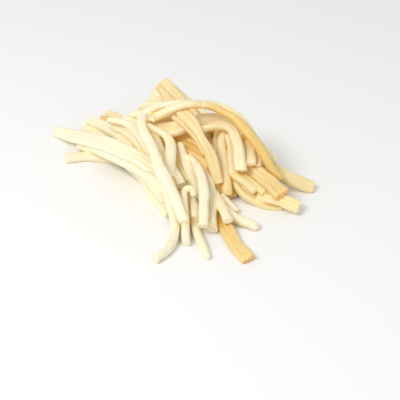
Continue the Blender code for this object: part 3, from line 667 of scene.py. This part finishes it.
def centreLine(path, sides, ends, draw):
    # the rings' places along the string, and their middles and three directions
    dense = smoothCurve(path, 10 * len(path))
    travelled = travelledAlong(dense)
    length = travelled[-1]
    at = ringPlaces(length, ends)
    meanStep = length / (len(dense) - 1)
    window = round(skin["smoothing"] / meanStep)
    aheadRows = smoothed(unit(np.gradient(dense, axis=0)), window)
    sideRows = np.column_stack([along(column, travelled / length) for column in sides.T])

    def read(rows):
        return np.column_stack([np.interp(at, travelled, column) for column in rows.T])

    middles = read(dense)
    ahead = unit(read(aheadRows))
    side = read(sideRows)
    side = unit(side - ahead * (side * ahead).sum(axis=1, keepdims=True))
    above = np.cross(side, ahead)
    turn = np.radians(skin["twist"]) * slowNoise(draw, at, skin["twistWave"])[:, None]
    side, above = side * np.cos(turn) + above * np.sin(turn), above * np.cos(turn) - side * np.sin(turn)
    inner = np.clip(np.minimum(at, length - at) / skin["driftFade"], 0, 1)
    middles += side * (inner * skin["drift"] * slowNoise(draw, at, skin["driftWave"]))[:, None]
    middles += above * (inner * skin["drift"] * 0.5 * slowNoise(draw, at, skin["driftWave"]))[:, None]
    return at, length, middles, side, above, ahead


def sectionsAlong(one, at, length, ends, draw):
    # how far each point of each ring lies to the side, above and ahead of the ring's middle
    outline, outward, groove, around = sectionOutline(one, skin["sidesByLobes"][one.lobes])
    taper = along(one.taper, at / length)
    swell = 1 + skin["sizeChange"] * slowNoise(draw, at, skin["sizeWave"])
    squash = 1 + skin["sizeChange"] * slowNoise(draw, at, skin["sizeWave"])
    inset = np.zeros(len(at))
    for end, depth in ((at, ends[0]), (length - at, ends[1])):
        short = np.clip(depth - end, 0, depth)
        inset = np.maximum(inset, depth - np.sqrt(depth ** 2 - short ** 2))
    wideScale = taper * swell * squash - 2 * inset / one.wide
    thickScale = np.sqrt(taper) * swell / squash - 2 * inset / one.thick
    x = outline[:, 0] * wideScale[:, None]
    y = outline[:, 1] * thickScale[:, None]
    startFade = np.exp(-at / cut["fade"])[:, None]
    endFade = np.exp(-(length - at) / cut["fade"])[:, None]
    if one.lobes > 1:
        opening = cut["groove"] * (startFade + endFade)
        y = y * (1 - np.clip(opening, 0, 0.9) * np.clip(groove, 0, 1))
        for offset in lobeOffsets(one.wide, one.thick, one.lobes):
            near = np.exp(-((outline[:, 0] - offset) / (one.thick * skin["lobeReach"])) ** 2)
            y = y * (1 + near * skin["lobeChange"] * slowNoise(draw, at, skin["sizeWave"])[:, None])
    relief = np.zeros(x.shape)
    wander, wanderWave = skin["reliefDrift"]
    for _ in range(skin["reliefWaves"]):
        waves = draw.integers(3, 7 + 4 * one.lobes)
        phase = draw.uniform(0, 6.28) + wander * slowNoise(draw, at, wanderWave)[:, None]
        relief += np.sin(2 * math.pi * waves * around + phase) * draw.uniform(0.4, 1) / waves ** 0.5
    relief *= skin["relief"] * np.clip(1 - inset / one.thick * 3, 0, 1)[:, None]
    x = x + outward[:, 0] * relief
    y = y + outward[:, 1] * relief

    # slanted cuts, and lobes that end apart
    slant = draw.uniform(-1, 1, (2, 2)) * cut["tilt"]
    shift = startFade * (slant[0, 0] * x + slant[0, 1] * y) + endFade * (slant[1, 0] * x + slant[1, 1] * y)
    startReach, endReach = cut["staggerFade"]
    apart = one.stagger[0] * np.exp(-at / startReach) + one.stagger[1] * np.exp(-(length - at) / endReach)
    shift = shift + np.clip(x / one.wide * 4, -1, 1) * apart[:, None] / 2
    return x, y, shift, groove


def stringSurface(one, path, sides, number):
    # the real skin of one string: points, faces, what the material reads there, and places in the string
    draw = np.random.default_rng(skin["seed"] + number)
    ends = [min(end, one.thick * cut["roundMost"]) for end in one.ends]
    at, length, middles, side, above, ahead = centreLine(path, sides, ends, draw)
    x, y, shift, groove = sectionsAlong(one, at, length, ends, draw)
    points = middles[:, None] + side[:, None] * x[..., None] + above[:, None] * y[..., None]
    points = points + ahead[:, None] * shift[..., None]
    rings, count = x.shape
    base = np.arange(rings)[:, None] * count + np.arange(count)
    after = np.roll(base, -1, axis=1)
    faces = [np.stack([base[:-1], base[1:], after[1:], after[:-1]], axis=-1).reshape(-1, 4)]
    # tones above 1 paint shade, and below 0 they pale further
    tones = along(one.tone, at / length) + draw.uniform(-0.06, 0.06)
    values = {
        "tone": np.repeat(tones, count),
        "groove": np.tile(groove, rings),
        "cutFace": np.zeros(rings * count),
        "band": np.repeat(crossBands(one, at, draw), count),
    }
    vertices = [points.reshape(-1, 3)]
    spaces = [np.stack([x, y, np.broadcast_to(at[:, None], x.shape) + shift], axis=-1).reshape(-1, 3)]
    total = rings * count

    # the two cut faces: rings of points towards the middle
    for ring, outwardWay in ((0, -1), (rings - 1, 1)):
        rim = base[ring]
        blunt = ends[outwardWay > 0] < cut["roundEnd"]
        dish = draw.uniform(*cut["dish"]) * (1 if blunt else cut["roundDish"])
        for size in cut["rings"]:
            roughness = draw.normal(0, cut["relief"], count) * (size < cut["rings"][0])
            bulge = outwardWay * (dish * (1 - size ** 2) + roughness)
            across, upward = x[ring] * size, y[ring] * size
            spots = middles[ring] + side[ring] * across[:, None] + above[ring] * upward[:, None]
            vertices.append(spots + ahead[ring] * (shift[ring] * size + bulge)[:, None])
            spaces.append(np.column_stack([across, upward, np.full(count, at[ring]) + bulge]))
            new = total + np.arange(count)
            quad = [rim, np.roll(rim, -1), np.roll(new, -1), new]
            faces.append(np.stack(quad if outwardWay < 0 else quad[::-1], axis=-1))
            rim = new
            total += count
        vertices.append((middles[ring] + ahead[ring] * outwardWay * dish)[None])
        spaces.append(np.array([[0.0, 0.0, at[ring]]]))
        fan = [rim, np.roll(rim, -1), np.full(count, total)]
        faces.append(np.stack(fan if outwardWay < 0 else fan[::-1], axis=-1))
        total += 1
        added = len(cut["rings"]) * count + 1
        for key, value in (("tone", tones[ring]), ("groove", 0), ("cutFace", 1), ("band", 0)):
            values[key] = np.append(values[key], np.full(added, value))
    values["cutFace"][base[[0, -1]]] = cut["rimColour"]
    spaces = np.vstack(spaces) + draw.uniform(-400, 400, 3)  # so that no two strings have the same grain
    return np.vstack(vertices), faces, values, spaces


# How much painted shade and glow a point gets, by how closed in it is
paintedShadeLook = {
    "reach": 14.0,
    "strength": 0.55,
    "groundStrength": 0.9,
    "groundHeight": 9.0,
    "batch": 1500,
}


def paintedShadeOf(points, normals):
    # how closed in each point is by the strings round it and the surface below, from 0 in the open to 1: the
    # material paints shade and a glow by it
    near = np.all((heap.middles > points.min(axis=0) - paintedShadeLook["reach"])
                  & (heap.middles < points.max(axis=0) + paintedShadeLook["reach"]), axis=1)
    balls = heap.middles[near].astype(np.float32)
    radii = heap.radii[near].astype(np.float32)
    total = np.zeros(len(points), np.float32)
    for start in range(0, len(points), paintedShadeLook["batch"]):
        part = slice(start, start + paintedShadeLook["batch"])
        apart = balls[None] - points[part, None].astype(np.float32)
        distance = np.sqrt((apart ** 2).sum(axis=-1)) + 1e-6
        cosine = (apart * normals[part, None].astype(np.float32)).sum(axis=-1) / distance
        size = np.minimum(radii / distance, 1) ** 2
        total[part] = (np.clip(cosine, 0, 1) * size).sum(axis=1)
    ground = np.clip(-normals[:, 2], 0, 1) * np.exp(-points[:, 2] / paintedShadeLook["groundHeight"])
    return 1 - np.exp(-paintedShadeLook["strength"] * total - paintedShadeLook["groundStrength"] * ground)


def addPiece(name, mesh, values, spaces):
    # puts a mesh in the scene with what the material reads at each point
    for key, value in values.items():
        mesh.attributes.new(key, "FLOAT", "POINT").data.foreach_set("value", value.astype(np.float32))
    space = mesh.attributes.new("stringSpace", "FLOAT_VECTOR", "POINT")
    space.data.foreach_set("vector", spaces.astype(np.float32).ravel())
    mesh.update()
    piece = bpy.data.objects.new(name, mesh)
    scene.collection.objects.link(piece)
    return piece


def buildPiece(name, chosen):
    # joins the skins of several strings into one mesh piece
    points, faces, spaces, spans = [], [], [], []
    values = collections.defaultdict(list)
    total = 0
    for one, path, sides, number in chosen:
        vertices, foundFaces, foundValues, foundSpaces = stringSurface(one, path, sides, number)
        points.append(vertices)
        faces += [face for part in foundFaces for face in (part + total).tolist()]
        spaces.append(foundSpaces)
        for key, value in foundValues.items():
            values[key].append(value)
        spans.append((total, total + len(vertices)))
        total += len(vertices)
    points = np.vstack(points)
    points[:, 2] = np.maximum(points[:, 2], skin["liftOff"])
    mesh = bpy.data.meshes.new(name)
    mesh.from_pydata((points * mm).tolist(), [], faces)
    mesh.shade_smooth()
    normals = np.zeros(len(points) * 3, np.float32)
    mesh.vertices.foreach_get("normal", normals)
    normals = normals.reshape(-1, 3)
    values = {key: np.concatenate(value) for key, value in values.items()}
    # painted shade and glow for each point, by how closed in it is
    paintedShade = [paintedShadeOf(points[low:high], normals[low:high]) for low, high in spans]
    values["paintedShade"] = np.concatenate(paintedShade)
    piece = addPiece(name, mesh, values, np.vstack(spaces))
    triangles = sum(len(face.vertices) - 2 for face in mesh.polygons)
    print(name, len(chosen), "strings,", triangles, "triangles")
    return piece


class Wire:
    # one socket of a shader, so that maths on it reads as a plain expression
    def __init__(self, shader, socket):
        self.shader = shader
        self.socket = socket

    def maths(self, operation, first, second):
        sockets = {"Value": first, "Value_001": second}
        return self.shader.node("ShaderNodeMath", {"operation": operation}, sockets)

    def __add__(self, other):
        return self.maths("ADD", self, other)

    __radd__ = __add__

    def __sub__(self, other):
        return self.maths("SUBTRACT", self, other)

    def __rsub__(self, other):
        return self.maths("SUBTRACT", other, self)

    def __mul__(self, other):
        return self.maths("MULTIPLY", self, other)

    __rmul__ = __mul__


class Shader:
    def __init__(self, name):
        self.material = bpy.data.materials.new(name)
        self.material.use_nodes = True
        self.tree = self.material.node_tree
        self.principled = self.tree.nodes["Principled BSDF"]

    def node(self, kind, settings, sockets, out=None):
        made = self.tree.nodes.new(kind)
        for name, value in settings.items():
            setattr(made, name, value)
        self.fill(made, sockets)
        return Wire(self, self.find(made.outputs, out) if out else made.outputs[0])

    def find(self, sockets, name):
        return next(socket for socket in sockets if name in (socket.identifier, socket.name))

    def fill(self, made, sockets):
        for name, value in sockets.items():
            socket = self.find(made.inputs, name)
            if isinstance(value, Wire):
                self.tree.links.new(value.socket, socket)
            else:
                socket.default_value = value

    def mask(self, name):
        return self.node("ShaderNodeAttribute", {"attribute_name": name}, {}, "Fac")

    def limited(self, value):
        return self.node("ShaderNodeClamp", {}, {"Value": value, "Min": 0.0, "Max": 1.0})

    def mix(self, share, first, second):
        return self.node("ShaderNodeMix", {"data_type": "RGBA"},
                         {"Factor_Float": share, "A_Color": first, "B_Color": second}, "Result_Color")

    def noise(self, space, size, detail=2.0, roughness=0.5):
        # size is how far the noise takes to change, along each of its three ways, in mm
        scaled = self.node("ShaderNodeVectorMath", {"operation": "MULTIPLY"},
                           {"Vector": space, "Vector_001": tuple(1 / one for one in size)})
        sockets = {"Vector": scaled, "Scale": 1.0, "Detail": detail, "Roughness": roughness}
        return self.node("ShaderNodeTexNoise", {}, sockets, "Fac")


# The colours of the two cheeses, from pale over warm to deep, which is painted shade for the deepest gaps and
# strings in shadow
freshLook = {
    "pale": (0.95, 0.875, 0.635, 1),
    "warm": (0.89, 0.73, 0.37, 1),
    "deep": (0.70, 0.47, 0.13, 1),
    "cut": (0.94, 0.88, 0.62, 1),
    "paintedGlow": (0.13, 0.08, 0.018, 1),  # painted light: a glow in the gaps that stands in for light through the cheese
    "toneShift": 0.0,
    "roughness": 0.3,
}

smokedLook = {
    "pale": (0.94, 0.81, 0.50, 1),
    "warm": (0.84, 0.58, 0.19, 1),
    "deep": (0.68, 0.41, 0.10, 1),
    "cut": (0.76, 0.45, 0.14, 1),
    "paintedGlow": (0.13, 0.075, 0.016, 1),
    "toneShift": 0.3,
    "roughness": 0.28,
}

cheeseLook = {
    "fibreSize": (0.5, 0.5, 16.0),
    "mottleSize": (3.2, 3.2, 8.0),
    "grainSize": (0.35, 0.35, 0.6),
    "relief": 0.0002,
    "subsurfaceRadius": (1.0, 0.95, 0.85),
    "subsurfaceScale": 0.002,
}


def cheeseMaterial(name, look):
    shader = Shader(name)
    # Burley keeps strings light where they press into each other
    shader.principled.subsurface_method = "BURLEY"
    space = shader.node("ShaderNodeAttribute", {"attribute_name": "stringSpace"}, {}, "Vector")
    fibres = shader.noise(space, cheeseLook["fibreSize"], 3.0, 0.6)
    mottle = shader.noise(space, cheeseLook["mottleSize"])
    grain = shader.noise(space, cheeseLook["grainSize"])
    tone = shader.mask("tone")
    groove = shader.mask("groove")
    paintedShade = shader.mask("paintedShade")
    cutFace = shader.mask("cutFace")
    band = shader.mask("band")

    # The warm tone, plus painted shade: warmer in the grooves between lobes and where the strings close in
    warmthAndShade = tone + look["toneShift"] + (mottle - 0.5) * 0.5 + (fibres - 0.5) * 0.35
    warmthAndShade = warmthAndShade + groove * 0.4 + paintedShade * 0.2 - band * 0.6
    colour = shader.mix(shader.limited(warmthAndShade), look["pale"], look["warm"])
    # Painted shade: toward the deep colour where the strings close in most, a little more in grooves, and
    # where tones pass 1
    depth = paintedShade * 1.6 - 0.9 + groove * 0.1 + shader.limited(tone - 1)
    colour = shader.mix(shader.limited(depth), colour, look["deep"])
    colour = shader.mix(shader.limited(cutFace * (0.55 + mottle * 0.3)), colour, look["cut"])
    # Painted light: an emitted glow where the strings close in most, standing in for light through the cheese
    paintedGlow = shader.mix(shader.limited(paintedShade * 2.2 - 1.2), (0, 0, 0, 1), look["paintedGlow"])
    roughness = look["roughness"] + (fibres - 0.5) * 0.14 + cutFace * 0.12
    height = fibres * (1 - cutFace) + grain * (0.25 + cutFace * 0.9)
    sockets = {"Strength": 1.0, "Distance": cheeseLook["relief"], "Height": height}
    bump = shader.node("ShaderNodeBump", {}, sockets)
    shader.fill(shader.principled, {
        "Base Color": colour,
        "Roughness": roughness,
        "Normal": bump,
        "Subsurface Weight": 1.0,
        "Subsurface Radius": cheeseLook["subsurfaceRadius"],
        "Subsurface Scale": cheeseLook["subsurfaceScale"],
        "Specular IOR Level": 0.5,
        "Emission Color": paintedGlow,
        "Emission Strength": 1.0,
    })
    return shader.material


freshMaterial = cheeseMaterial("freshCheese", freshLook)
smokedMaterial = cheeseMaterial("smokedCheese", smokedLook)
print("mixed the two cheeses")

pieces = []
for pieceName, kind, ribbon, material in (
        ("freshStrings", fresh, False, freshMaterial),
        ("freshRibbons", fresh, True, freshMaterial),
        ("smokedStrings", smoked, False, smokedMaterial),
        ("smokedRibbons", smoked, True, smokedMaterial)):
    chosen = [(one, path, sides, number) for number, (one, path, sides) in enumerate(laid)
              if one.kind == kind and (one.lobes > 1) == ribbon]
    piece = buildPiece(pieceName, chosen)
    piece.data.materials.append(material)
    pieces.append(piece)

# The low mound under the strings: seen only as warm shade at the bottom of the deepest gaps
coreShape = {
    "shrink": 0.94,
    "height": 18.4,
    "sides": 72,
    "rings": 20,
    "furrows": 31,
    "furrowDepth": 0.5,
    "furrowTurn": 9,
    "fullHeight": 4,  # the furrows fade out below it
    # A fixed painted shade and glow on the core, as for the deepest gaps.
    "look": {"tone": 0.7, "groove": 0, "cutFace": 0, "band": 0, "paintedShade": 0.75},
    "seed": 3,
}


def buildCore():
    draw = np.random.default_rng(coreShape["seed"])
    sides = coreShape["sides"]
    turns = np.arange(sides) * 2 * math.pi / sides
    points = []
    for ring in np.cos(np.linspace(0, math.pi / 2, coreShape["rings"]))[:-1]:
        height = coreShape["height"] * math.sqrt(1 - ring ** mound["shoulder"])
        wave = np.sin(turns * coreShape["furrows"] + ring * coreShape["furrowTurn"] + draw.uniform(0, 1))
        ripple = coreShape["furrowDepth"] * wave * min(1, height / coreShape["fullHeight"])
        points.append(np.column_stack([onMound(ring * coreShape["shrink"], turns), height + ripple * ring]))
    top = len(points) * sides
    points = np.vstack(points + [[*mound["middle"], coreShape["height"]]])
    faces = []
    for low in range(0, top - sides, sides):
        for i in range(sides):
            j = (i + 1) % sides
            faces.append((low + i, low + j, low + sides + j, low + sides + i))
    faces += [(top - sides + i, top - sides + (i + 1) % sides, top) for i in range(sides)]
    mesh = bpy.data.meshes.new("cheeseCore")
    mesh.from_pydata((points * mm).tolist(), [], faces)
    mesh.shade_smooth()
    values = {key: np.full(len(points), value) for key, value in coreShape["look"].items()}
    core = addPiece("cheeseCore", mesh, values, points)
    core.data.materials.append(freshMaterial)
    return core


pieces.append(buildCore())
print("built the core")

for piece in pieces:
    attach(piece, "root")
    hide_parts("string_cheese_heap")

# Floor, lights and camera
studio = {
    "floorSize": 6.0,
    "floorColour": (0.93, 0.93, 0.92, 1),
    "worldStrength": 0.67,
    "aim": (0, 0, 0.02),
    "lights": (("key", (-0.6, -0.55, 0.95), 0.5, 7.2), ("fill", (0.9, -0.5, 0.6), 0.8, 0.8)),
}


def buildFloor():
    half = studio["floorSize"] / 2
    mesh = bpy.data.meshes.new("floor")
    corners = [(-half, -half, 0), (half, -half, 0), (half, half, 0), (-half, half, 0)]
    mesh.from_pydata(corners, [], [(0, 1, 2, 3)])
    shader = Shader("paleFloor")
    shader.fill(shader.principled, {"Base Color": studio["floorColour"], "Roughness": 0.6})
    mesh.materials.append(shader.material)
    floor = bpy.data.objects.new("floor", mesh)
    scene.collection.objects.link(floor)


def addLight(name, place, size, power):
    # size in metres and power in watts
    data = bpy.data.lights.new(name, "AREA")
    data.shape = "DISK"
    data.size = size
    data.energy = power
    light = bpy.data.objects.new(name, data)
    light.location = place
    light.rotation_mode = "QUATERNION"
    light.rotation_quaternion = (Vector(studio["aim"]) - light.location).to_track_quat("-Z", "Y")
    scene.collection.objects.link(light)


buildFloor()
for light in studio["lights"]:
    addLight(*light)
world = bpy.data.worlds.new("studio")
world.use_nodes = True
background = world.node_tree.nodes["Background"]
background.inputs["Color"].default_value = (1, 1, 1, 1)
background.inputs["Strength"].default_value = studio["worldStrength"]
scene.world = world
scene.view_settings.view_transform = "Standard"

cameraData = bpy.data.cameras.new("camera")
cameraData.sensor_width = 36.0
cameraData.lens = viewpoint["focalLength"] * cameraData.sensor_width / viewpoint["picture"]
cameraData.clip_start = 0.01
camera = bpy.data.objects.new("camera", cameraData)
axes = Matrix([rightAxis, upAxis, backAxis]).transposed()
camera.matrix_world = Matrix.Translation(Vector(eye * mm)) @ axes.to_4x4()
scene.collection.objects.link(camera)
scene.camera = camera
print("set the floor, lights and camera")
